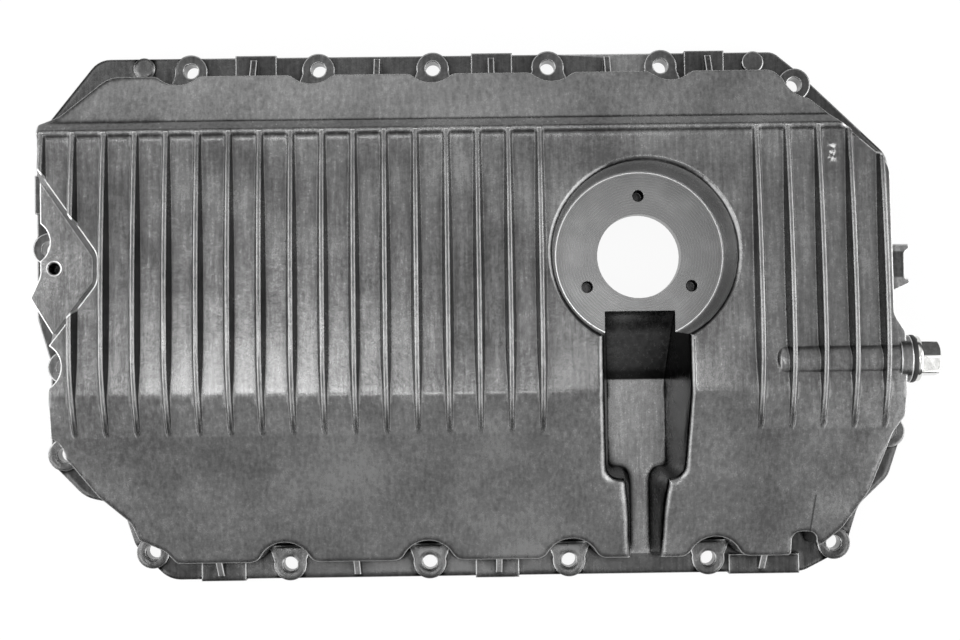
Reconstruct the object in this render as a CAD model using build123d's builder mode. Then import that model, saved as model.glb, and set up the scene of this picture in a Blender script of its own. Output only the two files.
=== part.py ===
from build123d import *
import os
from math import radians, sqrt, tan

os.makedirs("parts", exist_ok=True)

# Engine oil pan, cast in one piece, with its drain plug and seal.
# The sealing face lies on z = 0 and faces down, so the outside of the sump is up.
# X runs along the engine towards the drain plug, Y across it. All sizes are in mm.

# ---- flange ---------------------------------------------------------------------
edge_left = -215.0
edge_right = 207.0
edge_back = 129.5
edge_front = -128.0
flange_thickness = 8.0
pad_height = 9.5
pad_proud = 0.8

# ---- walls of the sump ----------------------------------------------------------
ledge_left = 11.0
ledge_right = 10.0
ledge_back = 14.5
ledge_front = 9.5
wall_thickness = 4.5
floor_thickness = 4.0
wall_draft = 2.0

# ---- heights of the underside ---------------------------------------------------
shelf_edge_height = 49.5
ridge_foot_height = 57.0
ridge_height = 62.5
floor_height = 60.0
crease_height = 65.5
front_height = 34.0
ridge_y = 85.6
ridge_run = 5.4
ridge_step = 2.8
crease_y = -38.0

# ---- cooling ribs ---------------------------------------------------------------
rib_pitch = 14.45
rib_first_x = -199.65
rib_count_left = 17
rib_gap_pitches = 7
rib_count_right = 5
rib_crest_width = 2.2
rib_crest_chamfer = 0.5
rib_draft = 10.0
rib_depth = 10.0
rib_crest_height = 72.0
rib_crest_y = -16.0
rib_tip_y = -59.0
rib_tip_height = 56.2

# ---- bolts ----------------------------------------------------------------------
bolt_hole_radius = 3.6
bolt_boss_radius = 8.0
bolt_boss_height = 11.0
bolt_flare_width = 21.0
bolt_flare_length = 9.0
bolt_flare_angle = 70.0
blind_boss_radius = 5.3
bolt_inset_back = 6.8
bolt_inset_front = 7.2
bolt_clearance_radius = 12.0
side_clearance_radius = 9.0
scallop_round = 7.5
front_bolt_pitch = 68.4
front_bolt_middle = 11.4

# ---- oil level sensor seat ------------------------------------------------------
sensor_x = 80.0
sensor_y = 26.8
sensor_face_height = 34.0
sensor_face_radius = 40.4
sensor_face_thickness = 9.0
sensor_bore_radius = 20.2
sensor_wall_draft = 6.0
rim_round = 4.5
rim_overlap = 0.4
screw_circle_radius = 29.1
screw_hole_radius = 3.0
screw_hole_depth = 12.0
screw_boss_radius = 6.5

# ---- connector pocket and cable channel -----------------------------------------
pocket_floor_height = flange_thickness
pocket_floor_width = 28.4
pocket_front_y = -75.0
pocket_slope_y = -32.5
pocket_back_y = 0.5
pocket_step_run = 3.0
pocket_step_height = 5.0
pocket_draft = 6.0
pocket_corner = 2.0
channel_width = 9.6
channel_offset = 0.8
channel_corner = 6.4
pocket_edge_round = 3.0

# ---- drain ----------------------------------------------------------------------
drain_y = -24.3
drain_height = 57.0
drain_rib_radius = 10.0
drain_rib_start = 139.0
drain_boss_start = 172.0
drain_face_x = 202.5
drain_face_radius = 11.0
drain_face_depth = 5.5
drain_bore_radius = 7.0
drain_bore_depth = 20.0
drain_passage_radius = 5.0
seal_thickness = 2.4
seal_radius = 11.15
seal_clearance = 0.4
seal_edge_round = 0.7
collar_thickness = 2.1
collar_radius = 10.6
hex_across_flats = 15.0
hex_length = 9.0
hex_chamfer_angle = 30.0
hex_chamfer_inset = 0.3
shank_length = 15.0
shank_clearance = 0.05

# ---- side lug -------------------------------------------------------------------
lug_height = 54.0
lug_wall_height = 8.0
lug_wall_draft = 25.0
lug_apex_x = -173.8
lug_screw_x = -195.8
lug_screw_y = 23.0
lug_screw_radius = 3.15
lug_screw_depth = 14.0

# ---- fins and clip of the flange ------------------------------------------------
fin_width = 3.0
fin_tip_height = 12.5
fin_root_height = 24.0
fin_inset = 2.0
clip_reach = 9.0
clip_height = 50.0

# ---- sizes worked out from the ones above ---------------------------------------
left = edge_left + ledge_left
right = edge_right - ledge_right
back = edge_back - ledge_back
front = edge_front + ledge_front
body_height = crease_height + 2.5
draft_run = body_height * tan(radians(wall_draft))
beyond = 30.0

# Bolts: a row along each long side, then the ones on the short sides and corners.
back_bolts = [(x, edge_back - bolt_inset_back) for x in (-138.0, -75.0, -18.5, 38.5, 94.5)]
front_bolts = [
    (front_bolt_middle + (i - 1.5) * front_bolt_pitch, edge_front + bolt_inset_front)
    for i in range(4)
]
left_bolts = [
    (edge_left + 6.5, 35.4),
    (edge_left + 13.5, -23.0),
    (edge_left + 13.5, -65.8),
]
corner_bolts = [
    (-158.4, edge_front + 13.9),
    (176.0, edge_front + 13.9),
    (edge_right - 2.8, -59.6),
]
back_corner_bolt = (160.7, edge_back - 16.8)
all_bolts = back_bolts + front_bolts + left_bolts + corner_bolts + [back_corner_bolt]


def rounded_outline(corners):
    """A closed face from (x, y, corner radius) rows."""
    with BuildSketch() as outline:
        with BuildLine():
            Polyline([(x, y) for x, y, radius in corners], close=True)
        make_face()
        for radius in sorted({radius for x, y, radius in corners if radius > 0}):
            spots = [Vector(x, y) for x, y, corner in corners if corner == radius]
            chosen = [
                vertex
                for vertex in outline.vertices()
                if min((Vector(vertex.X, vertex.Y) - spot).length for spot in spots) < 0.01
            ]
            fillet(chosen, radius)
    return outline.sketch


def grown(shape, amount):
    """The same sketch with its outline moved out, or in where amount is negative."""
    with BuildSketch() as result:
        add(shape)
        offset(amount=amount, mode=Mode.REPLACE)
    return result.sketch


def corners_of_cut(shape, spot, radius):
    """The corners that a round cut about spot leaves on an outline."""
    return [
        vertex
        for vertex in shape.vertices()
        if abs((Vector(vertex.X, vertex.Y) - Vector(*spot)).length - radius) < 0.01
    ]


def surface_height(y):
    """Height of the floor or the front slope at y, with the crease between them left sharp."""
    if y > crease_y:
        return crease_height - (y - crease_y) * floor_slope
    return crease_height + (y - crease_y) * front_slope


def pocket_rim(edges):
    """The upper edges of the pocket and the channel, between the sensor and the front wall."""
    return [
        edge
        for edge in edges
        if abs(edge.center().X - sensor_x) < pocket_floor_width
        and front + pocket_floor_width / 3 < edge.center().Y < pocket_back_y - 1
        and abs(edge.center().Z - surface_height(edge.center().Y)) < wall_thickness / 2
        and edge.length < pocket_floor_width * 1.5
    ]


# ---- plan outlines --------------------------------------------------------------
flange_outline = [
    (-184, edge_back, 12),
    (-211, 96, 12),
    (edge_left, 89, 6),
    (edge_left, 1, 12),
    (edge_left + 6.5, -21, 8),
    (edge_left + 6.5, -70, 14),
    (-192, -87, 16),
    (-174, -91, 9),
    (-167.5, -111, 10),
    (-151, edge_front, 14),
    (161, edge_front, 10),
    (182, -117.5, 8),
    (189, -96, 14),
    (204, -82, 12),
    (edge_right + 3.5, -63, 8),
    (edge_right, -48, 8),
    (edge_right, 77, 12),
    (162.5, edge_back - 9.5, 8),
    (151, edge_back, 8),
]
body_outline = [
    (-171, back, 16),
    (-193.5, 95.5, 4),
    (left, 91, 4),
    (left, 20, 5),
    (left - 5, 9, 4),
    (left + 6, -9, 4),
    (left + 5.3, -58, 8),
    (-178, -85.5, 12),
    (-164, -98, 8),
    (-161, -106.5, 4),
    (-149, -112, 4),
    (-143, front, 4),
    (151.5, front, 3),
    (151.5, front + 11.5, 3),
    (161, front + 11.5, 3),
    (161, front + 1.5, 3),
    (175, -105, 8),
    (187, -87, 20),
    (right - 0.5, -59, 8),
    (right + 5, -51, 4),
    (right + 5, -11, 4),
    (right, -3, 6),
    (right, 68, 14),
    (150, 109, 12),
    (143, back, 8),
]

with BuildSketch() as body_plan:
    add(rounded_outline(body_outline))
    for spot in back_bolts + front_bolts + [back_corner_bolt]:
        with Locations(spot):
            Circle(bolt_clearance_radius, mode=Mode.SUBTRACT)
        fillet(corners_of_cut(body_plan, spot, bolt_clearance_radius), scallop_round)
    for spot in left_bolts:
        with Locations(spot):
            Circle(side_clearance_radius, mode=Mode.SUBTRACT)

# ---- side profile of the underside, as (y, z) -----------------------------------
shelf_slope = (ridge_foot_height - shelf_edge_height) / (back - ridge_y - ridge_run)
front_slope = (crease_height - front_height) / (crease_y - front)
side_profile = [
    (back + beyond, -beyond, 0),
    (back + beyond, shelf_edge_height - beyond * shelf_slope, 0),
    (ridge_y + ridge_run, ridge_foot_height, 4),
    (ridge_y, ridge_height, 1),
    (ridge_y - ridge_step, floor_height, 1.5),
    (crease_y, crease_height, 8),
    (front - beyond, front_height - beyond * front_slope, 0),
    (front - beyond, -beyond, 0),
]

# ---- one cooling rib, at x = 0 --------------------------------------------------
# Its crest climbs from the ridge along one arc and falls to its tip along another.
rise = rib_crest_height - ridge_height
climb_radius = ((ridge_y - rib_crest_y) ** 2 + rise**2) / (2 * rise)
climb_half_y = (ridge_y + rib_crest_y) / 2
climb_half_z = rib_crest_height - climb_radius
climb_half_z += sqrt(climb_radius**2 - (climb_half_y - rib_crest_y) ** 2)
rib_base_width = rib_crest_width + 2 * rib_depth * tan(radians(rib_draft))

with BuildPart() as rib:
    with BuildLine(Plane.YZ) as crest:
        ThreePointArc(
            (ridge_y, ridge_height),
            (climb_half_y, climb_half_z),
            (rib_crest_y, rib_crest_height),
        )
        TangentArc(
            (rib_crest_y, rib_crest_height),
            (rib_tip_y, rib_tip_height),
            tangent=(-1, 0),
        )
    with BuildSketch(Plane(origin=crest.wire() @ 0, x_dir=(1, 0, 0), z_dir=crest.wire() % 0)) as rib_section:
        with BuildLine():
            Polyline(
                (-rib_crest_width / 2, 0),
                (rib_crest_width / 2, 0),
                (rib_base_width / 2, -rib_depth),
                (-rib_base_width / 2, -rib_depth),
                close=True,
            )
        make_face()
        chamfer(rib_section.vertices().group_by(Axis.Y)[-1], rib_crest_chamfer)
    sweep()

rib_places = [rib_first_x + i * rib_pitch for i in range(rib_count_left)]
right_first_x = rib_first_x + (rib_count_left - 1 + rib_gap_pitches) * rib_pitch
rib_places += [right_first_x + i * rib_pitch for i in range(rib_count_right)]

# ---- sensor recess --------------------------------------------------------------
# Its wall is revolved about the sensor's axis, its rounded rim about a line square to the floor.
# The round runs a little past the floor and the wall, so it meets each of them at an edge.
floor_slope = (crease_height - floor_height) / (ridge_y - ridge_step - crease_y)
rim_height = floor_height + (ridge_y - ridge_step - sensor_y) * floor_slope
rim_foot_height = rim_height - rim_round
rim_foot_radius = sensor_face_radius
rim_foot_radius += (rim_foot_height - sensor_face_height) * tan(radians(sensor_wall_draft))
rim_radius = rim_foot_radius - rim_overlap + rim_round
sensor_plane = Plane(origin=(sensor_x, sensor_y, 0), x_dir=(1, 0, 0), z_dir=(0, -1, 0))
rim_plane = Plane(
    origin=(sensor_x, sensor_y, rim_height), x_dir=(1, 0, 0), z_dir=(0, -1, floor_slope)
)
with BuildPart() as recess:
    with BuildSketch(sensor_plane):
        with BuildLine():
            Polyline(
                (0, sensor_face_height),
                (sensor_face_radius, sensor_face_height),
                (rim_foot_radius, rim_foot_height),
                (rim_foot_radius, rib_crest_height),
                (0, rib_crest_height),
                close=True,
            )
        make_face()
    revolve(axis=Axis((sensor_x, sensor_y, 0), (0, 0, 1)))
    with BuildSketch(rim_plane):
        with BuildLine():
            CenterArc((rim_radius, rim_overlap - rim_round), rim_round, 90, 90)
            Polyline(
                (rim_radius - rim_round, rim_overlap - rim_round),
                (0, rim_overlap - rim_round),
                (0, rim_round),
                (rim_radius, rim_round),
                (rim_radius, rim_overlap),
            )
        make_face()
    revolve(axis=Axis(rim_plane.origin, rim_plane.y_dir))

# ---- pocket and channel ---------------------------------------------------------
half_pocket = pocket_floor_width / 2
channel_left = channel_offset - channel_width / 2
channel_right = channel_offset + channel_width / 2
pocket_outline = [
    (sensor_x - half_pocket, pocket_back_y + beyond, 0),
    (sensor_x - half_pocket, pocket_front_y, pocket_corner),
    (sensor_x + channel_left, pocket_front_y, channel_corner),
    (sensor_x + channel_left, edge_front - beyond, 0),
    (sensor_x + channel_right, edge_front - beyond, 0),
    (sensor_x + channel_right, pocket_front_y, channel_corner),
    (sensor_x + half_pocket, pocket_front_y, pocket_corner),
    (sensor_x + half_pocket, pocket_back_y + beyond, 0),
]
pocket_depth = rib_crest_height - pocket_floor_height
pocket_run = pocket_depth * tan(radians(pocket_draft))
pocket_profile = [
    (pocket_back_y, rib_crest_height),
    (pocket_back_y, sensor_face_height),
    (pocket_back_y - pocket_step_run, sensor_face_height - pocket_step_height),
    (pocket_slope_y, pocket_floor_height),
    (edge_front - beyond, pocket_floor_height),
    (edge_front - beyond, rib_crest_height),
]
with BuildPart() as pocket:
    with BuildSketch(Plane.XY.offset(pocket_floor_height)):
        add(rounded_outline(pocket_outline))
    with BuildSketch(Plane.XY.offset(pocket_floor_height + pocket_depth)):
        add(grown(rounded_outline(pocket_outline), pocket_run))
    loft(ruled=True)
    with BuildSketch(Plane.YZ.offset(sensor_x)):
        with BuildLine():
            Polyline(pocket_profile, close=True)
        make_face()
    extrude(amount=pocket_floor_width * 2, both=True, mode=Mode.INTERSECT)

# ---- outer form -----------------------------------------------------------------
# Drafted walls under the side profile, opened by the pocket and the recess; then the ribs.
with BuildPart() as envelope:
    with BuildSketch():
        add(body_plan.sketch)
    with BuildSketch(Plane.XY.offset(body_height)):
        add(grown(body_plan.sketch, -draft_run))
    loft(ruled=True)
    with BuildSketch(Plane.XY.offset(body_height)):
        add(grown(body_plan.sketch, -draft_run))
    extrude(amount=rib_crest_height)

with BuildPart() as walls:
    add(envelope.part)
    with BuildSketch(Plane.YZ):
        add(rounded_outline(side_profile))
    extrude(amount=beyond - edge_left, both=True, mode=Mode.INTERSECT)
    add(pocket.part, mode=Mode.SUBTRACT)
    fillet(pocket_rim(walls.edges()), pocket_edge_round)
    add(recess.part, mode=Mode.SUBTRACT)

with BuildPart() as ribs:
    with Locations(*[(x, 0, 0) for x in rib_places]):
        add(rib.part)
    add(envelope.part, mode=Mode.INTERSECT)

with BuildPart() as pocket_wall:
    with BuildSketch(Plane.XY.offset(pocket_floor_height)):
        add(grown(rounded_outline(pocket_outline), wall_thickness))
    with BuildSketch(Plane.XY.offset(pocket_floor_height + pocket_depth)):
        add(grown(rounded_outline(pocket_outline), wall_thickness + pocket_run))
    loft(ruled=True)
    with BuildSketch(Plane.XY.offset(pocket_floor_height - wall_thickness)):
        add(grown(rounded_outline(pocket_outline), wall_thickness))
    extrude(amount=wall_thickness)
    with BuildSketch(Plane.YZ.offset(sensor_x)) as pocket_side:
        with BuildLine():
            Polyline(pocket_profile, close=True)
        make_face()
        offset(amount=wall_thickness, kind=Kind.INTERSECTION, mode=Mode.REPLACE)
    extrude(amount=pocket_floor_width * 2, both=True, mode=Mode.INTERSECT)

well_bottom = sensor_face_height - sensor_face_thickness
with BuildPart() as well:
    with BuildSketch(sensor_plane):
        with BuildLine():
            Polyline(
                (0, well_bottom),
                (sensor_face_radius + wall_thickness, well_bottom),
                (rim_foot_radius + wall_thickness, rim_foot_height),
                (rim_radius + wall_thickness, rim_height),
                (rim_radius + wall_thickness, rib_crest_height),
                (0, rib_crest_height),
                close=True,
            )
        make_face()
    revolve(axis=Axis((sensor_x, sensor_y, 0), (0, 0, 1)))

# ---- side lug: a lower step of the floor, open to the left ----------------------
lug_outline = [
    (left - 4, 79, 0),
    (lug_apex_x, 29, 9),
    (lug_apex_x, 15.5, 9),
    (left - 4, -29, 0),
    (left - beyond, -29, 0),
    (left - beyond, 79, 0),
]
lug_run = lug_wall_height * tan(radians(lug_wall_draft))
with BuildPart() as lug_step:
    with BuildSketch(Plane.XY.offset(lug_height)):
        add(grown(rounded_outline(lug_outline), -lug_run))
    with BuildSketch(Plane.XY.offset(lug_height + lug_wall_height)):
        add(rounded_outline(lug_outline))
    loft(ruled=True)
    with BuildSketch(Plane.XY.offset(lug_height + lug_wall_height)):
        add(rounded_outline(lug_outline))
    extrude(amount=beyond)

with BuildPart() as lug_floor:
    with BuildSketch(Plane.XY.offset(lug_height - floor_thickness)):
        add(grown(rounded_outline(lug_outline), floor_thickness))
    extrude(amount=beyond)

# ---- oil space ------------------------------------------------------------------
drain_plane = Plane(origin=(0, drain_y, drain_height), x_dir=(0, 1, 0), z_dir=(1, 0, 0))
screw_boss_bottom = sensor_face_height - screw_hole_depth - floor_thickness
lug_boss_bottom = lug_height - lug_screw_depth - floor_thickness
with BuildPart() as oil_space:
    with BuildSketch(Plane.XY.offset(-1)):
        add(grown(body_plan.sketch, -(wall_thickness + draft_run)))
    extrude(amount=body_height)
    with BuildSketch(Plane.YZ):
        add(grown(rounded_outline(side_profile), -floor_thickness))
    extrude(amount=beyond - edge_left, both=True, mode=Mode.INTERSECT)
    add(well.part, mode=Mode.SUBTRACT)
    add(pocket_wall.part, mode=Mode.SUBTRACT)
    add(lug_floor.part, mode=Mode.SUBTRACT)
    with BuildSketch(Plane.XY.offset(screw_boss_bottom)):
        with Locations((sensor_x, sensor_y)):
            with PolarLocations(screw_circle_radius, 3, start_angle=90):
                Circle(screw_boss_radius)
    extrude(amount=screw_hole_depth, mode=Mode.SUBTRACT)
    with BuildSketch(Plane.XY.offset(lug_boss_bottom)):
        with Locations((lug_screw_x, lug_screw_y)):
            Circle(lug_screw_radius + wall_thickness)
    extrude(amount=lug_screw_depth + floor_thickness, mode=Mode.SUBTRACT)
    with BuildSketch(drain_plane.offset(drain_boss_start)):
        Circle(drain_face_radius)
    extrude(amount=drain_face_x - drain_boss_start, mode=Mode.SUBTRACT)
    with BuildSketch(drain_plane.offset(drain_rib_start + floor_thickness)):
        Circle(drain_rib_radius - floor_thickness)
    extrude(amount=drain_boss_start - drain_rib_start - floor_thickness)

# ---- drain: a rib that carries the oil groove, and a round boss for the plug ------
with BuildPart() as drain:
    with BuildSketch(drain_plane.offset(drain_rib_start)):
        Circle(drain_rib_radius)
    extrude(amount=drain_face_x - drain_face_depth - drain_rib_start)
    fillet(drain.edges().filter_by(GeomType.CIRCLE).sort_by(Axis.X)[0], drain_rib_radius / 2)
    with BuildSketch(drain_plane.offset(drain_face_x - drain_face_depth)):
        Circle(drain_face_radius)
    extrude(amount=drain_face_depth)

# ---- parts of the flange ----------------------------------------------------------
# Pads stand proud of the edge; fins run from the wall towards the edge.
back_pads = [(-116.2, -95.9), (0.6, 20.9), (106.5, 126.2)]
front_pads = [(-134.9, -113.1), (-0.3, 21.0), (124.4, 159.0)]
side_pad = (53.0, 72.0)
back_fins = [-106.7, -45.9, 10.4, 67.8, 117.7]
front_fins = [-124.8, -58.1, 11.1, 140.0]
blind_bosses = [(-161.1, edge_back - blind_boss_radius), (140.4, edge_back - blind_boss_radius)]
bolt_flare = (bolt_flare_width, bolt_flare_length, bolt_flare_angle)
clip_outline = [
    (right - wall_thickness / 2, 29.8, 0),
    (right + clip_reach, 29.8, 0.8),
    (right + clip_reach, 27.6, 0.8),
    (right + clip_reach - 2.4, 25.9, 1),
    (right + clip_reach - 2.4, 13.7, 1),
    (right + clip_reach, 13.2, 0.8),
    (right + clip_reach, 11.2, 0.8),
    (right + 0.5, 7.6, 0),
    (right - wall_thickness / 2, 7.6, 0),
]


def fin(wall, edge):
    """A thin fin on x = 0 that falls from the wall to the edge of the flange."""
    with BuildPart() as result:
        with BuildSketch(Plane.YZ):
            with BuildLine():
                Polyline(
                    (wall, 0),
                    (edge, 0),
                    (edge, fin_tip_height),
                    (wall, fin_root_height),
                    close=True,
                )
            make_face()
        extrude(amount=fin_width / 2, both=True)
    return result.part


with BuildPart() as casting:
    add(walls.part)
    add(ribs.part)
    add(drain.part)
    add(lug_step.part, mode=Mode.SUBTRACT)

    add(rounded_outline(flange_outline))
    extrude(amount=flange_thickness)
    with BuildSketch():
        for start, end in back_pads:
            with Locations(((start + end) / 2, edge_back + pad_proud)):
                Rectangle(end - start, ledge_back, align=(Align.CENTER, Align.MAX))
        for start, end in front_pads:
            with Locations(((start + end) / 2, edge_front - pad_proud)):
                Rectangle(end - start, ledge_front, align=(Align.CENTER, Align.MIN))
        with Locations((edge_left - pad_proud, sum(side_pad) / 2)):
            Rectangle(ledge_left, side_pad[1] - side_pad[0], align=(Align.MIN, Align.CENTER))
    extrude(amount=pad_height)
    with BuildSketch():
        with Locations(*all_bolts):
            Circle(bolt_boss_radius)
        with Locations(*[Location(spot) for spot in back_bolts]):
            Trapezoid(*bolt_flare, align=(Align.CENTER, Align.MAX))
        with Locations(*[Location(spot, 180) for spot in front_bolts]):
            Trapezoid(*bolt_flare, align=(Align.CENTER, Align.MAX))
        with Locations(*blind_bosses):
            Circle(blind_boss_radius)
    extrude(amount=bolt_boss_height)

    with Locations(*[(x, 0, 0) for x in back_fins]):
        add(fin(back - wall_thickness / 2, edge_back - fin_inset))
    with Locations(*[(x, 0, 0) for x in front_fins]):
        add(fin(front + wall_thickness / 2, edge_front + fin_inset))

    # Clip for the cable on the short side by the drain.
    with BuildSketch():
        add(rounded_outline(clip_outline))
    extrude(amount=clip_height)

    add(oil_space.part, mode=Mode.SUBTRACT)

    # Drilled holes
    with BuildSketch(Plane.XY.offset(-1)):
        with Locations(*all_bolts):
            Circle(bolt_hole_radius)
    extrude(amount=bolt_boss_height + 2, mode=Mode.SUBTRACT)
    with BuildSketch(Plane.XY.offset(sensor_face_height)):
        with Locations((sensor_x, sensor_y)):
            Circle(sensor_bore_radius)
    extrude(amount=-sensor_face_thickness, mode=Mode.SUBTRACT)
    with BuildSketch(Plane.XY.offset(sensor_face_height)):
        with Locations((sensor_x, sensor_y)):
            with PolarLocations(screw_circle_radius, 3, start_angle=90):
                Circle(screw_hole_radius)
    extrude(amount=-screw_hole_depth, mode=Mode.SUBTRACT)
    with BuildSketch(Plane.XY.offset(lug_height)):
        with Locations((lug_screw_x, lug_screw_y)):
            Circle(lug_screw_radius)
    extrude(amount=-lug_screw_depth, mode=Mode.SUBTRACT)
    with BuildSketch(drain_plane.offset(drain_face_x)):
        Circle(drain_bore_radius)
    extrude(amount=-drain_bore_depth, mode=Mode.SUBTRACT)
    with BuildSketch(drain_plane.offset(drain_face_x)):
        Circle(drain_passage_radius)
    extrude(amount=drain_boss_start - 1 - drain_face_x, mode=Mode.SUBTRACT)
casting.part.label = "oil_pan_casting"
export_step(casting.part, "parts/oil_pan_casting.step")

# ---- drain plug and its seal ----------------------------------------------------
with BuildPart() as seal:
    with BuildSketch(drain_plane.offset(drain_face_x)):
        Circle(seal_radius)
        Circle(drain_bore_radius + seal_clearance, mode=Mode.SUBTRACT)
    extrude(amount=seal_thickness)
    fillet(seal.edges().group_by(SortBy.LENGTH)[-1], seal_edge_round)
seal.part.label = "drain_plug_seal"
export_step(seal.part, "parts/drain_plug_seal.step")

collar_x = drain_face_x + seal_thickness
hex_x = collar_x + collar_thickness
hex_end_x = hex_x + hex_length
hex_corner_radius = hex_across_flats / sqrt(3)
hex_end_radius = hex_across_flats / 2 - hex_chamfer_inset
hex_chamfer_length = (hex_corner_radius - hex_end_radius) * tan(radians(hex_chamfer_angle))
with BuildPart() as hexagon:
    with BuildSketch(drain_plane.offset(hex_x)):
        RegularPolygon(hex_across_flats / 2, 6, major_radius=False, rotation=9)
    extrude(amount=hex_length)
    with BuildSketch(Plane(origin=drain_plane.origin, x_dir=(1, 0, 0), z_dir=(0, -1, 0))):
        with BuildLine():
            Polyline(
                (hex_x, 0),
                (hex_x, hex_corner_radius + 1),
                (hex_end_x - hex_chamfer_length, hex_corner_radius),
                (hex_end_x, hex_end_radius),
                (hex_end_x, 0),
                close=True,
            )
        make_face()
    revolve(axis=Axis(drain_plane.origin, (1, 0, 0)), mode=Mode.INTERSECT)

with BuildPart() as plug:
    with BuildSketch(drain_plane.offset(collar_x)):
        Circle(collar_radius)
    extrude(amount=collar_thickness)
    fillet(plug.edges(), collar_thickness / 4)
    add(hexagon.part)
    with BuildSketch(drain_plane.offset(collar_x)):
        Circle(drain_bore_radius - shank_clearance)
    extrude(amount=-shank_length - seal_thickness)
    chamfer(plug.edges().sort_by(Axis.X)[0], 1)
plug.part.label = "drain_plug"
export_step(plug.part, "parts/drain_plug.step")
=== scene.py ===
import math
import bmesh
import bpy
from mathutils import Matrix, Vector


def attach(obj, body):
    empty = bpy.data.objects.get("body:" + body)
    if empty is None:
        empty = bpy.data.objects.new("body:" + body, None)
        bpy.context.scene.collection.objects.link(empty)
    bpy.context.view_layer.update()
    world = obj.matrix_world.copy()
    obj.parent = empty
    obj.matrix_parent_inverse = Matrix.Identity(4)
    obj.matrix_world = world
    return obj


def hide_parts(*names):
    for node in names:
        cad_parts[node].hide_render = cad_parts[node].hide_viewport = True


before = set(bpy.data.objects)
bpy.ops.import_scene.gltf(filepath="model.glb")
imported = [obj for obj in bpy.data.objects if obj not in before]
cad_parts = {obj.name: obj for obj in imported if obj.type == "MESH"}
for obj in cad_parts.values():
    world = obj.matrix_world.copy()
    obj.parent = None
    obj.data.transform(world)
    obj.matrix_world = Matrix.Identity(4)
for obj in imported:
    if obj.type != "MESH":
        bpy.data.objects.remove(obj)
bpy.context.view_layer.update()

MM = 0.001
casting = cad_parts["oil_pan_casting"]

# Places of the turned and drilled features, in mm.
SENSOR_X, SENSOR_Y, SENSOR_FACE_Z = 80.0, 26.8, 34.0
SENSOR_FACE_R, SENSOR_BORE_R, SENSOR_BORE_Z = 40.4, 20.2, 25.0
SCREW_CIRCLE_R, SCREW_R = 29.1, 3.0
LUG_X, LUG_Y, LUG_Z = -195.8, 23.0, 54.0
DRAIN_X, DRAIN_Y, DRAIN_Z = 202.5, -24.3, 57.0

# Places on the cast skin, in mm: where the floor bends, the clip's middle, which is darkened as painted shade, the
# pocket, the channel's end, and the heights over which the painted shade low down fades out.
CREASE_Y, RIDGE_Y = -38.0, 84.0
CLIP_X, CLIP_Y, CLIP_Z = 199.5, 20.4, 50.0
CLIP_HALF_X, CLIP_HALF_Y = 4.5, 5.8
POCKET_Z, POCKET_FLOOR_HALF, POCKET_WALL_HALF = 8.0, 15.0, 26.0
POCKET_END_Y, CHANNEL_END_Y = -10.0, -117.0
FLANGE_TOP_Z, BOSS_TOP_Z = 10.5, 12.5

# Marks of use, in mm: a scratch on the front slope that leans SCRATCH_LEAN along X for each mm of Y, and a scuff.
SCRATCH_LEAN, SCRATCH_X, SCRATCH_Y, SCRATCH_HALF = 0.1, 169.3, -97.5, 9.5
SCUFF_X, SCUFF_Y, SCUFF_HALF_X, SCUFF_HALF_Y = 168.0, 72.5, 1.2, 3.0


# ---- materials ------------------------------------------------------------------
def linear(code):
    """A linear colour from an sRGB hex value."""
    channels = [int(code[i : i + 2], 16) / 255 for i in (1, 3, 5)]
    return [c / 12.92 if c <= 0.04045 else ((c + 0.055) / 1.055) ** 2.4 for c in channels] + [1.0]


def add_node(tree, kind, inputs=None, **settings):
    """Adds a node; inputs hold values, or the sockets that feed it."""
    made = tree.nodes.new(kind)
    for name, value in settings.items():
        setattr(made, name, value)
    for name, value in (inputs or {}).items():
        if isinstance(value, bpy.types.NodeSocket):
            tree.links.new(value, made.inputs[name])
        else:
            made.inputs[name].default_value = value
    return made


def metal(name, roughness):
    """An empty metal: its tree, its shader and the coordinates that its patterns read."""
    material = bpy.data.materials.new(name)
    material.use_nodes = True
    tree = material.node_tree
    shader = tree.nodes["Principled BSDF"]
    shader.inputs["Metallic"].default_value = 1.0
    shader.inputs["Roughness"].default_value = roughness
    place = add_node(tree, "ShaderNodeTexCoord").outputs["Object"]
    return material, tree, shader, place


def noise(tree, place, grain_mm, detail=3.0, roughness=0.5):
    """Cloudy noise whose lumps are about grain_mm wide."""
    return add_node(
        tree,
        "ShaderNodeTexNoise",
        {"Vector": place, "Scale": 1 / (grain_mm * MM), "Detail": detail, "Roughness": roughness},
    ).outputs["Fac"]


def ramp(tree, value, stops):
    """A colour ramp from (position, sRGB hex) pairs."""
    made = add_node(tree, "ShaderNodeValToRGB", {"Fac": value})
    made.color_ramp.elements[0].position, made.color_ramp.elements[0].color = stops[0][0], linear(stops[0][1])
    made.color_ramp.elements[1].position, made.color_ramp.elements[1].color = stops[-1][0], linear(stops[-1][1])
    for position, code in stops[1:-1]:
        made.color_ramp.elements.new(position).color = linear(code)
    return made.outputs["Color"]


def spread(tree, value, low, high, new_low, new_high):
    """Maps one range of a value to another, clamped."""
    return add_node(
        tree,
        "ShaderNodeMapRange",
        {"Value": value, "From Min": low, "From Max": high, "To Min": new_low, "To Max": new_high},
    ).outputs["Result"]


def math_node(tree, operation, first, second=0.0):
    """One sum on two values or sockets."""
    made = add_node(tree, "ShaderNodeMath", {0: first, 1: second}, operation=operation)
    return made.outputs["Value"]


def bump(tree, height, depth_mm, normal=None):
    """A relief depth_mm deep, laid over the relief or the rounds that normal holds."""
    inputs = {"Height": height, "Distance": depth_mm * MM}
    if normal is not None:
        inputs["Normal"] = normal
    return add_node(tree, "ShaderNodeBump", inputs).outputs["Normal"]


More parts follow.
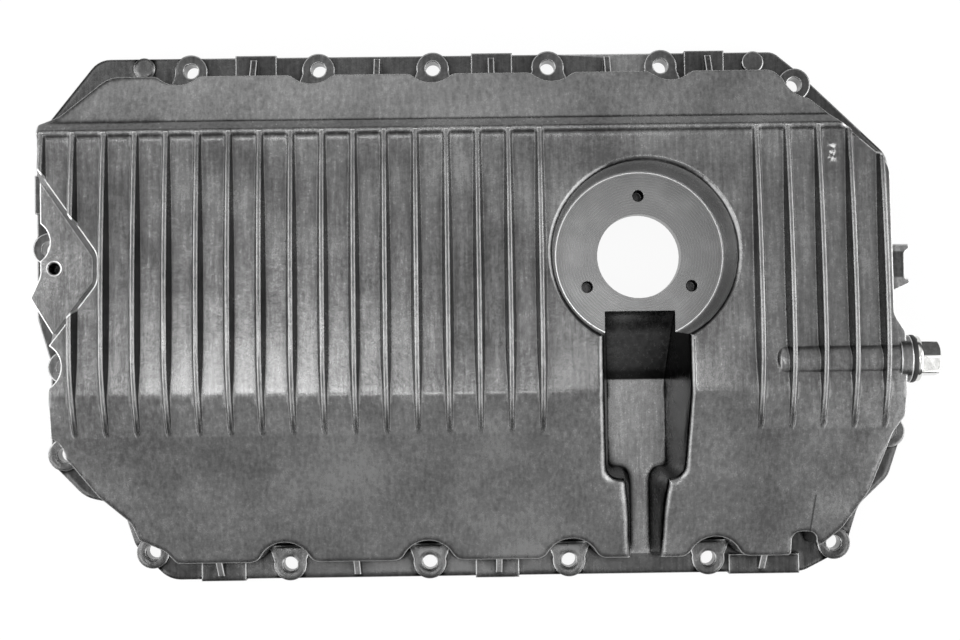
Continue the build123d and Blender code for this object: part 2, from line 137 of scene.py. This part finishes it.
def mix_colour(tree, factor, first, second, blend="MIX"):
    """Two colours mixed by a factor. The node keeps sockets of one name for each kind of value, so they go by place."""
    made = tree.nodes.new("ShaderNodeMix")
    made.data_type = "RGBA"
    made.blend_type = blend
    for socket, value in ((made.inputs[0], factor), (made.inputs[6], first), (made.inputs[7], second)):
        if isinstance(value, bpy.types.NodeSocket):
            tree.links.new(value, socket)
        else:
            socket.default_value = value
    return made.outputs[2]


def near(tree, value, centre_mm, half_mm, fade_mm=1.5):
    """1 within half_mm of a place, 0 beyond it."""
    off = math_node(tree, "ABSOLUTE", math_node(tree, "SUBTRACT", value, centre_mm * MM))
    return spread(tree, off, half_mm * MM, (half_mm + fade_mm) * MM, 1.0, 0.0)


def add_up(tree, values):
    """The sum of several values."""
    total = values[0]
    for value in values[1:]:
        total = math_node(tree, "ADD", total, value)
    return total


def painted_shade_and_scratch(tree, axes, low_tone, tone_share):
    """How much of the skin's brightness is left: painted shade darkens the flange, the clip's middle, the steep
    walls and the hollows, and a real scratch darkens the front slope."""
    # Painted shade: the skin darkens low down, on the flange, to low_tone of its brightness.
    low = spread(tree, axes["Z"], FLANGE_TOP_Z * MM, BOSS_TOP_Z * MM, low_tone * tone_share, tone_share)
    # Painted shade in the hollow of the clip's middle, on its top.
    clip = math_node(
        tree,
        "MULTIPLY",
        near(tree, axes["X"], CLIP_X, CLIP_HALF_X, 0.5),
        near(tree, axes["Y"], CLIP_Y, CLIP_HALF_Y, 0.6),
    )
    clip = math_node(tree, "MULTIPLY", clip, near(tree, axes["Z"], CLIP_Z, 1, 0.5))
    slanted = math_node(tree, "SUBTRACT", axes["X"], math_node(tree, "MULTIPLY", axes["Y"], SCRATCH_LEAN))
    scratch = math_node(
        tree,
        "MULTIPLY",
        near(tree, slanted, SCRATCH_X, 0.25, 0.3),
        near(tree, axes["Y"], SCRATCH_Y, SCRATCH_HALF, 1),
    )
    # Painted shade: walls darken the steeper they stand.
    facing = add_node(tree, "ShaderNodeNewGeometry").outputs["True Normal"]
    upward = add_node(tree, "ShaderNodeSeparateXYZ", {"Vector": facing}).outputs["Z"]
    # Painted shade in hollows, from ambient occlusion within 8 mm.
    hollow = add_node(tree, "ShaderNodeAmbientOcclusion", {"Distance": 8 * MM}, samples=8).outputs["AO"]
    left = low
    for share in (
        spread(tree, clip, 0.0, 1.0, 1.0, 0.3),
        spread(tree, scratch, 0.0, 1.0, 1.0, 0.4),
        spread(tree, upward, 0.2, 0.6, 0.6, 1.0),
        spread(tree, hollow, 0.3, 0.9, 0.25, 1.0),
    ):
        left = math_node(tree, "MULTIPLY", left, share)
    return low, left


def highlight_and_scuff_of(tree, axes, low, mottle):
    """1 where a highlight is painted within 0.9 mm of an outer edge, and in patches where the skin is scuffed bright.
    """
    # Painted highlight along every outer edge, found by ambient occlusion inside the body.
    body = add_node(
        tree, "ShaderNodeAmbientOcclusion", {"Distance": 0.9 * MM}, samples=8, inside=True
    ).outputs["AO"]
    scuffed = math_node(
        tree,
        "MULTIPLY",
        near(tree, axes["X"], SCUFF_X, SCUFF_HALF_X, 1.2),
        near(tree, axes["Y"], SCUFF_Y, SCUFF_HALF_Y, 2),
    )
    scuff = math_node(tree, "MULTIPLY", scuffed, spread(tree, mottle, 0.48, 0.6, 0.0, 0.8))
    highlight_or_scuff = math_node(tree, "MAXIMUM", scuff, spread(tree, body, 0.6, 0.88, 1.0, 0.0))
    return math_node(tree, "MULTIPLY", low, highlight_or_scuff)


def rounded_normal(tree, axes):
    """Shades every edge round: by 1.1 mm, and by more along the crease and the ridge, at the front and at the
    shelf's left end."""
    left_end = spread(tree, axes["X"], -150 * MM, -140 * MM, 3.0 * MM, 0.0)
    extra_rounds = [
        math_node(tree, "MULTIPLY", near(tree, axes["Y"], CREASE_Y, 3), 1.4 * MM),
        math_node(tree, "MULTIPLY", near(tree, axes["Y"], RIDGE_Y, 4), 1.6 * MM),
        spread(tree, axes["Y"], -72 * MM, -60 * MM, 3.0 * MM, 0.0),
        math_node(tree, "MULTIPLY", near(tree, axes["Y"], RIDGE_Y + 30, 24), left_end),
    ]
    radius = math_node(tree, "ADD", add_up(tree, extra_rounds), 1.1 * MM)
    return add_node(tree, "ShaderNodeBevel", {"Radius": radius}, samples=8).outputs["Normal"]


def make_cast_aluminium(name, low_tone, tone_share=1.0):
    """Aluminium silicon alloy, die cast and left bare: a satin grey skin, faintly clouded by the flow of the melt
    and combed by the die's polish. Every edge is rounded and carries a painted highlight. Painted shade leaves
    the flange, low down, low_tone of the skin's brightness, and all of it tone_share."""
    material, tree, shader, place = metal(name, 0.24)
    clouds = noise(tree, place, 42, 3.0, 0.55)
    combed = add_node(tree, "ShaderNodeMapping", {"Vector": place, "Scale": (1.0, 0.09, 1.0)}).outputs["Vector"]
    streaks = noise(tree, combed, 1.6, 3.0, 0.6)
    mottle = noise(tree, place, 2.4, 3.0, 0.6)
    grain = noise(tree, place, 0.8, 2.0, 0.6)
    shares = ((clouds, 0.4), (streaks, 0.25), (mottle, 0.2), (grain, 0.15))
    tone = add_up(tree, [math_node(tree, "MULTIPLY", value, share) for value, share in shares])
    skin = ramp(tree, tone, [(0.4, "#595959"), (0.5, "#717171"), (0.6, "#888888")])
    axes = add_node(tree, "ShaderNodeSeparateXYZ", {"Vector": place}).outputs
    low, left = painted_shade_and_scratch(tree, axes, low_tone, tone_share)
    highlight_and_scuff = highlight_and_scuff_of(tree, axes, low, mottle)
    # The skin, darkened by painted shade and the real scratch, then brightened toward white by the painted edge
    # highlight and the real scuff.
    shaded_skin = mix_colour(tree, 1.0, skin, left, "MULTIPLY")
    tree.links.new(mix_colour(tree, highlight_and_scuff, shaded_skin, linear("#f0f0f0")), shader.inputs["Base Color"])
    satin = spread(tree, tone, 0.38, 0.62, 0.19, 0.3)
    rough = math_node(tree, "ADD", satin, math_node(tree, "MULTIPLY", highlight_and_scuff, 0.15))
    tree.links.new(rough, shader.inputs["Roughness"])
    relief = rounded_normal(tree, axes)
    for height, depth_mm in ((clouds, 0.3), (streaks, 0.012), (mottle, 0.035), (grain, 0.014)):
        relief = bump(tree, height, depth_mm, relief)
    tree.links.new(relief, shader.inputs["Normal"])
    return material


def ring_waves(tree, place, centre_mm, spacing_mm, distortion=0.3):
    """Rings about an upright line, one crest every spacing_mm."""
    centred = add_node(
        tree, "ShaderNodeMapping", {"Vector": place, "Location": [-c * MM for c in centre_mm]}
    ).outputs["Vector"]
    return add_node(
        tree,
        "ShaderNodeTexWave",
        {"Vector": centred, "Scale": math.pi / 10 / (spacing_mm * MM), "Distortion": distortion, "Detail": 2.0},
        wave_type="RINGS",
        rings_direction="Z",
    ).outputs["Fac"]


def make_turned_aluminium():
    """The same alloy faced on a lathe: brighter than the cast skin, with fine rings about the sensor's axis.
    The rings are drawn 1.3 mm apart, coarser than the tool's feed, so that they show. A thin bright ring at
    the face's outer edge is a painted highlight."""
    material, tree, shader, place = metal("turned_aluminium", 0.3)
    rings = ring_waves(tree, place, (SENSOR_X, SENSOR_Y, 0), 1.3)
    clouds = noise(tree, place, 14, 3.0)
    tone = math_node(tree, "ADD", math_node(tree, "MULTIPLY", clouds, 0.7), math_node(tree, "MULTIPLY", rings, 0.08))
    flat = add_node(
        tree,
        "ShaderNodeMapping",
        {"Vector": place, "Location": (-SENSOR_X * MM, -SENSOR_Y * MM, 0), "Scale": (1, 1, 0)},
    ).outputs["Vector"]
    radius = add_node(tree, "ShaderNodeVectorMath", {0: flat}, operation="LENGTH").outputs["Value"]
    # Painted highlight: a thin bright ring along the sensor face's outer edge.
    edge = near(tree, radius, SENSOR_FACE_R, 0.35, 0.3)
    skin = ramp(tree, tone, [(0.35, "#747474"), (0.65, "#868686")])
    tree.links.new(mix_colour(tree, edge, skin, linear("#d8d8d8")), shader.inputs["Base Color"])
    tree.links.new(spread(tree, rings, 0.0, 1.0, 0.26, 0.34), shader.inputs["Roughness"])
    tree.links.new(bump(tree, rings, 0.005), shader.inputs["Normal"])
    return material


def make_milled_aluminium():
    """The same alloy milled flat: bright and even, with the cutter's long sweeps, drawn 1.6 mm apart."""
    material, tree, shader, place = metal("milled_aluminium", 0.3)
    shader.inputs["Base Color"].default_value = linear("#8a8a8a")
    marks = ring_waves(tree, place, (-900, 0, 0), 1.6)
    tree.links.new(bump(tree, marks, 0.01), shader.inputs["Normal"])
    return material


def make_zinc_plated_steel():
    """Carbon steel, cold headed and zinc plated: pale, slightly cloudy and nearly a mirror on its flats."""
    material, tree, shader, place = metal("zinc_plated_steel", 0.16)
    clouds = noise(tree, place, 2.6, 3.0)
    tree.links.new(ramp(tree, clouds, [(0.35, "#cfcfcd"), (0.65, "#e2e2e0")]), shader.inputs["Base Color"])
    tree.links.new(spread(tree, clouds, 0.3, 0.7, 0.12, 0.2), shader.inputs["Roughness"])
    tree.links.new(bump(tree, noise(tree, place, 0.5, 2.0), 0.006), shader.inputs["Normal"])
    return material


def make_seal_rubber():
    """Nitrile rubber, moulded: dull black with a faint bloom where oil has dried on it."""
    material, tree, shader, place = metal("seal_rubber", 0.55)
    shader.inputs["Metallic"].default_value = 0.0
    shader.inputs["IOR"].default_value = 1.52
    bloom = noise(tree, place, 1.8, 3.0)
    tree.links.new(ramp(tree, bloom, [(0.4, "#0c0c0c"), (0.7, "#161616")]), shader.inputs["Base Color"])
    tree.links.new(spread(tree, bloom, 0.3, 0.7, 0.45, 0.62), shader.inputs["Roughness"])
    tree.links.new(bump(tree, noise(tree, place, 0.4, 2.0), 0.01), shader.inputs["Normal"])
    return material


# Copies of the cast skin that differ in painted shade: darker low down, not darker on the pocket's floor, and dark all
# over on the pocket's walls.
cast_skin = make_cast_aluminium("cast_aluminium", 0.4)
pocket_skin = make_cast_aluminium("cast_aluminium_pocket", 1.0)
shaded_wall_skin = make_cast_aluminium("cast_aluminium_shaded_walls", 1.0, 0.22)
turned_skin = make_turned_aluminium()
milled_skin = make_milled_aluminium()
zinc_skin = make_zinc_plated_steel()
rubber_skin = make_seal_rubber()


# ---- the casting ----------------------------------------------------------------
EDGE_ANGLE, FLAT = 26, 0.02  # degrees past which an edge stays sharp, and mm within which a face lies on a plane


def new_tree(name, sizes):
    """A geometry tree with a geometry in, a geometry out and one named input for each size."""
    tree = bpy.data.node_groups.new(name, "GeometryNodeTree")
    tree.interface.new_socket("Geometry", in_out="INPUT", socket_type="NodeSocketGeometry")
    tree.interface.new_socket("Geometry", in_out="OUTPUT", socket_type="NodeSocketGeometry")
    for label, value in sizes.items():
        kind = "NodeSocketInt" if isinstance(value, int) else "NodeSocketFloat"
        tree.interface.new_socket(label, in_out="INPUT", socket_type=kind).default_value = value
    return tree, add_node(tree, "NodeGroupInput").outputs, add_node(tree, "NodeGroupOutput").inputs


def smooth_casting():
    """Joins the casting's facets and shades its rounds smooth, up to the angle of a real edge."""
    tree, given, result = new_tree("smooth_rounds", {"Edge angle": math.radians(EDGE_ANGLE), "Weld": 1e-6})
    joined = add_node(
        tree, "GeometryNodeMergeByDistance", {"Geometry": given["Geometry"], "Distance": given["Weld"]}
    ).outputs["Geometry"]
    plain = add_node(
        tree, "GeometryNodeRemoveAttribute", {"Geometry": joined, "Name": "custom_normal"}
    ).outputs["Geometry"]
    smooth = add_node(
        tree, "GeometryNodeSetShadeSmooth", {"Geometry": plain, "Shade Smooth": True}, domain="FACE"
    ).outputs["Geometry"]
    angle = add_node(tree, "GeometryNodeInputMeshEdgeAngle").outputs["Unsigned Angle"]
    sharp = add_node(
        tree, "FunctionNodeCompare", {"A": angle, "B": given["Edge angle"]}, operation="GREATER_THAN"
    ).outputs["Result"]
    edged = add_node(
        tree,
        "GeometryNodeSetShadeSmooth",
        {"Geometry": smooth, "Selection": sharp, "Shade Smooth": False},
        domain="EDGE",
    ).outputs["Geometry"]
    tree.links.new(edged, result["Geometry"])
    casting.modifiers.new("smooth_rounds", "NODES").node_group = tree


def finish_of(centre, normal):
    """The slot of a face: 0 as cast, 1 turned or drilled, 2 milled, 3 the pocket's floor, 4 its walls darkened as
    painted shade.
    """
    x, y, z = centre / MM
    from_sensor = math.hypot(x - SENSOR_X, y - SENSOR_Y)
    if abs(z - SENSOR_FACE_Z) < FLAT and from_sensor < SENSOR_FACE_R:
        return 1
    if from_sensor < SENSOR_BORE_R + 0.2 and SENSOR_BORE_Z < z < SENSOR_FACE_Z:
        return 1
    if abs(x - DRAIN_X) < FLAT:
        return 1
    if abs(z) < FLAT and normal.z < -0.9:
        return 2
    if abs(z - POCKET_Z) < FLAT and abs(x - SENSOR_X) < POCKET_FLOOR_HALF and y > CHANNEL_END_Y:
        return 3
    # The pocket's walls that face one way take the copy darkened all over as painted shade.
    in_pocket = abs(x - SENSOR_X) < POCKET_WALL_HALF and CHANNEL_END_Y < y < POCKET_END_Y
    if in_pocket and normal.z < 0.5 and (normal.x < -0.4 or normal.y > 0.3):
        return 4
    return 0


smooth_casting()
casting.data.materials.clear()
for skin in (cast_skin, turned_skin, milled_skin, pocket_skin, shaded_wall_skin):
    casting.data.materials.append(skin)
for face in casting.data.polygons:
    face.material_index = finish_of(face.center, face.normal)


# ---- drain plug and seal --------------------------------------------------------
# Sizes in mm.
HEX_FLATS, HEX_LENGTH, HEX_TURN = 15.0, 9.0, math.radians(22.6)
COLLAR_R, COLLAR_LENGTH = 10.6, 2.1
SEAL_R, SEAL_HOLE_R, SEAL_LENGTH = 11.15, 7.4, 2.4
THREAD_R, THREAD_DEPTH, THREAD_PITCH, SHANK_LENGTH = 6.95, 0.85, 1.5, 15.0


def lathe(name, stations, steps, radius_at=None):
    """A closed skin about the drain's axis. Stations are (x, radius) in mm from the drain face; a radius of 0
    closes the skin. radius_at(x, radius, angle) shapes each ring where it isn't round."""
    verts, faces, rings = [], [], []
    for x, radius in stations:
        if radius == 0:
            rings.append([len(verts)])
            verts.append((x, 0.0, 0.0))
            continue
        ring = []
        for i in range(steps):
            angle = 2 * math.pi * i / steps
            r = radius_at(x, radius, angle) if radius_at else radius
            ring.append(len(verts))
            verts.append((x, r * math.cos(angle), r * math.sin(angle)))
        rings.append(ring)
    for first, second in zip(rings, rings[1:]):
        for i in range(steps):
            j = (i + 1) % steps
            corners = [first[i % len(first)], first[j % len(first)], second[j % len(second)], second[i % len(second)]]
            faces.append(list(dict.fromkeys(corners)))
    mesh = bpy.data.meshes.new(name)
    place = Vector((DRAIN_X, DRAIN_Y, DRAIN_Z))
    mesh.from_pydata([(Vector(v) + place) * MM for v in verts], [], faces)
    made = bpy.data.objects.new(name, mesh)
    bpy.context.scene.collection.objects.link(made)
    return made


def tidy(piece, skin, edge_angle=30):
    """Joins doubles, turns the skin outwards and shades it smooth up to an angle."""
    shell = bmesh.new()
    shell.from_mesh(piece.data)
    bmesh.ops.remove_doubles(shell, verts=shell.verts, dist=1e-6)
    bmesh.ops.recalc_face_normals(shell, faces=shell.faces)
    for face in shell.faces:
        face.smooth = True
    for edge in shell.edges:
        edge.smooth = len(edge.link_faces) == 2 and edge.calc_face_angle() < math.radians(edge_angle)
    shell.to_mesh(piece.data)
    shell.free()
    piece.data.materials.clear()
    piece.data.materials.append(skin)


def hex_radius(radius, angle):
    """A hexagon's radius, cut by the cone that chamfers its end."""
    off = (angle - HEX_TURN + math.pi / 6) % (math.pi / 3) - math.pi / 6
    sharp = HEX_FLATS / 2 / math.cos(math.pi / 6 - abs(off))
    return min(sharp, radius)


def make_head():
    """The collar with its rounded rims, and the hexagon with a chamfered, slightly dished end."""
    start = SEAL_LENGTH
    head = start + COLLAR_LENGTH
    end = head + HEX_LENGTH
    steps = 120
    corner = HEX_FLATS / 2 / math.cos(math.pi / 6)
    flat_r = HEX_FLATS / 2 - 0.25
    rise = math.tan(math.radians(60))
    cone = (corner - flat_r) / rise
    stations = [(start, 0), (start, COLLAR_R - 0.5), (start + 0.15, COLLAR_R - 0.15), (start + 0.5, COLLAR_R)]
    stations += [(head - 0.5, COLLAR_R), (head - 0.15, COLLAR_R - 0.15), (head, COLLAR_R - 0.5)]
    stations += [(head, corner + 0.6), (head + 0.2, corner + 0.15), (head + 0.6, corner)]
    stations += [(end - cone + cone * i / 6, corner - cone * rise * i / 6) for i in range(7)]
    stations += [(end, flat_r - 0.8), (end - 0.35, flat_r - 1.6), (end - 0.35, 0)]

    def shape(x, radius, angle):
        return hex_radius(radius, angle) if x > head + 0.05 else radius

    return lathe("drain_plug_head", stations, steps, shape)


def make_shank():
    """The thread, as one height field round the shank: its flanks wind with the angle."""
    step_mm = 0.125
    count = int((SHANK_LENGTH - 1.5) / step_mm)
    tip = -SHANK_LENGTH
    stations = [(tip, 0), (tip, THREAD_R - 1.6), (tip + 1.2, THREAD_R - THREAD_DEPTH)]
    stations += [(tip + 1.5 + i * step_mm, THREAD_R) for i in range(count)]
    stations += [(0.2, THREAD_R - THREAD_DEPTH), (SEAL_LENGTH, THREAD_R - THREAD_DEPTH), (SEAL_LENGTH, 0)]

    def shape(x, radius, angle):
        if radius < THREAD_R:
            return radius
        along = ((x / THREAD_PITCH + angle / (2 * math.pi)) % 1.0) * 2 - 1
        fade = min(1.0, (x - tip - 1.2) / THREAD_PITCH, (0.2 - x) / 1.0 + 0.1)
        crest = min(1.0, max(0.0, 1.15 - 1.3 * abs(along)))
        return radius - THREAD_DEPTH * (1 - max(0.0, fade) * crest)

    return lathe("drain_plug_thread", stations, 48, shape)


def make_seal():
    """A flat ring with rounded outer edges."""
    rim = 0.7
    rows = [(0, SEAL_HOLE_R), (0, SEAL_R - rim)]
    for i in range(1, 6):
        turn = math.pi / 2 * i / 6
        rows.append((rim - rim * math.cos(turn), SEAL_R - rim + rim * math.sin(turn)))
    rows += [(rim, SEAL_R)]
    rows += [(SEAL_LENGTH - x, r) for x, r in reversed(rows[1:])]
    rows += [(SEAL_LENGTH, SEAL_HOLE_R), (0, SEAL_HOLE_R)]
    return lathe("drain_plug_ring", rows, 96)


head, shank, ring = make_head(), make_shank(), make_seal()
for piece, skin in ((head, zinc_skin), (shank, zinc_skin), (ring, rubber_skin)):
    tidy(piece, skin)
for piece in (head, shank):
    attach(piece, "plug")
    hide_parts("drain_plug")
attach(ring, "seal")
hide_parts("drain_plug_seal")


# ---- thread turns in the tapped holes -------------------------------------------
def tapped_holes():
    """Rings of thread that line each tapped hole, set at one pitch from its mouth down."""
    tree, given, result = new_tree(
        "thread_turns", {"Hole radius": SCREW_R * MM, "Pitch": 1.0 * MM, "Depth": 0.45 * MM, "Turns": 10}
    )
    path = add_node(
        tree, "GeometryNodeCurvePrimitiveCircle", {"Resolution": 32, "Radius": given["Hole radius"]}
    ).outputs["Curve"]
    profile = add_node(
        tree, "GeometryNodeCurvePrimitiveCircle", {"Resolution": 4, "Radius": given["Depth"]}
    ).outputs["Curve"]
    ring = add_node(tree, "GeometryNodeCurveToMesh", {"Curve": path, "Profile Curve": profile}).outputs["Mesh"]
    step = add_node(tree, "ShaderNodeCombineXYZ", {"Z": given["Pitch"]}).outputs["Vector"]
    down = add_node(tree, "ShaderNodeVectorMath", {0: step, 1: (-1, -1, -1)}, operation="MULTIPLY").outputs["Vector"]
    stack = add_node(tree, "GeometryNodeMeshLine", {"Count": given["Turns"], "Offset": down}).outputs["Mesh"]
    turns = add_node(tree, "GeometryNodeInstanceOnPoints", {"Points": stack, "Instance": ring}).outputs["Instances"]
    holes = add_node(
        tree, "GeometryNodeInstanceOnPoints", {"Points": given["Geometry"], "Instance": turns}
    ).outputs["Instances"]
    solid = add_node(tree, "GeometryNodeRealizeInstances", {"Geometry": holes}).outputs["Geometry"]
    skinned = add_node(
        tree, "GeometryNodeSetMaterial", {"Geometry": solid, "Material": turned_skin}
    ).outputs["Geometry"]
    tree.links.new(skinned, result["Geometry"])

    spots = []
    for i in range(3):
        angle = math.radians(90 + 120 * i)
        spots.append(
            (
                SENSOR_X + SCREW_CIRCLE_R * math.cos(angle),
                SENSOR_Y + SCREW_CIRCLE_R * math.sin(angle),
                SENSOR_FACE_Z - 1.0,
            )
        )
    spots.append((LUG_X, LUG_Y, LUG_Z - 1.0))
    mesh = bpy.data.meshes.new("hole_mouths")
    mesh.from_pydata([Vector(spot) * MM for spot in spots], [], [])
    marks = bpy.data.objects.new("hole_mouths", mesh)
    bpy.context.scene.collection.objects.link(marks)
    marks.modifiers.new("thread_turns", "NODES").node_group = tree
    seen = marks.evaluated_get(bpy.context.evaluated_depsgraph_get())
    made = bpy.data.objects.new("tapped_threads", bpy.data.meshes.new_from_object(seen))
    bpy.context.scene.collection.objects.link(made)
    bpy.data.objects.remove(marks)
    return made


threads = tapped_holes()
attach(threads, "pan")


# ---- floor, light and camera ----------------------------------------------------
TABLE_GLOW = 0.93  # the share of the table's look that is plain white; the rest is lit, and holds the shadow


def make_floor():
    """A pale table: it shows white to the eye and to the metal, and still takes the part's shadow. From below
    it is clear, so that the part's underside can be seen."""
    mesh = bpy.data.meshes.new("table")
    corners = [(x, y, -0.2 * MM) for x, y in ((-6, -6), (6, -6), (6, 6), (-6, 6))]
    mesh.from_pydata(corners, [], [(0, 1, 2, 3)])
    made = bpy.data.objects.new("table", mesh)
    bpy.context.scene.collection.objects.link(made)
    material = bpy.data.materials.new("white_table")
    material.use_nodes = True
    tree = material.node_tree
    matt = tree.nodes["Principled BSDF"]
    matt.inputs["Base Color"].default_value = linear("#e6e6e6")
    matt.inputs["Roughness"].default_value = 0.9
    rays = add_node(tree, "ShaderNodeLightPath").outputs
    seen = math_node(tree, "MAXIMUM", rays["Is Camera Ray"], rays["Is Glossy Ray"])
    seen = math_node(tree, "MAXIMUM", seen, rays["Is Transmission Ray"])
    glow = add_node(tree, "ShaderNodeEmission", {"Color": (1, 1, 1, 1), "Strength": 1.0}).outputs["Emission"]
    share = math_node(tree, "MULTIPLY", seen, TABLE_GLOW)
    blend = add_node(tree, "ShaderNodeMixShader", {0: share, 1: matt.outputs["BSDF"], 2: glow})
    below = add_node(tree, "ShaderNodeNewGeometry").outputs["Backfacing"]
    clear = add_node(tree, "ShaderNodeBsdfTransparent").outputs["BSDF"]
    sided = add_node(tree, "ShaderNodeMixShader", {0: below, 1: blend.outputs["Shader"], 2: clear})
    tree.links.new(sided.outputs["Shader"], tree.nodes["Material Output"].inputs["Surface"])
    made.data.materials.append(material)


def make_world():
    """White to the eye. The light it gives is a soft ceiling, and a dim room all round above the table."""
    world = bpy.data.worlds.new("studio")
    bpy.context.scene.world = world
    world.use_nodes = True
    tree = world.node_tree
    tree.nodes.clear()
    rays = add_node(tree, "ShaderNodeLightPath").outputs
    direction = add_node(tree, "ShaderNodeTexCoord").outputs["Generated"]
    upward = add_node(tree, "ShaderNodeSeparateXYZ", {"Vector": direction}).outputs["Z"]
    level = ramp(
        tree,
        upward,
        [(0.0, "#303030"), (0.2, "#484848"), (0.3, "#7c7c7c"), (0.44, "#7c7c7c"), (0.62, "#fcfcfc"), (1.0, "#f6f6f6")],
    )
    dim = add_node(tree, "ShaderNodeBackground", {"Color": level, "Strength": 1.0}).outputs["Background"]
    white = add_node(tree, "ShaderNodeBackground", {"Color": (1, 1, 1, 1), "Strength": 1.0}).outputs["Background"]
    sky = add_node(tree, "ShaderNodeMixShader", {0: rays["Is Camera Ray"], 1: dim, 2: white}).outputs["Shader"]
    tree.links.new(sky, add_node(tree, "ShaderNodeOutputWorld").inputs["Surface"])


def make_lamp(name, place_mm, aim_mm, width_mm, height_mm, watts):
    """A softbox at a place, turned to a point."""
    light = bpy.data.lights.new(name, "AREA")
    light.shape = "RECTANGLE"
    light.size, light.size_y = width_mm * MM, height_mm * MM
    light.energy = watts
    lamp = bpy.data.objects.new(name, light)
    lamp.location = Vector(place_mm) * MM
    lamp.rotation_euler = (Vector(aim_mm) - Vector(place_mm)).to_track_quat("-Z", "Y").to_euler()
    bpy.context.scene.collection.objects.link(lamp)


def make_camera():
    """A long lens straight above, tipped and turned a little."""
    data = bpy.data.cameras.new("camera")
    data.lens = 63.03
    data.sensor_width = 36.0
    camera = bpy.data.objects.new("camera", data)
    camera.location = Vector((-4.4, -28.2, 839.8)) * MM
    camera.rotation_euler = [math.radians(a) for a in (1.802, -0.512, -0.762)]
    bpy.context.scene.collection.objects.link(camera)
    bpy.context.scene.camera = camera


make_floor()
make_world()
make_lamp("back_softbox", (-500, 1050, 800), (0, 0, 40), 1400, 700, 2.0)
make_lamp("top_softbox", (-238, 20, 1150), (-90, -10, 65), 120, 260, 1.0)
make_lamp("front_softbox", (-25, -260, 1130), (0, -38, 65), 230, 130, 0.6)
make_lamp("left_softbox", (-820, -260, 560), (0, -260, 40), 1370, 760, 10.5)
make_lamp("right_softbox", (820, -260, 560), (0, -260, 40), 1370, 760, 10.5)
make_lamp("small_softbox", (129, 20, 1150), (60, 0, 50), 60, 140, 0.22)
make_camera()
bpy.context.scene.view_settings.view_transform = "Standard"
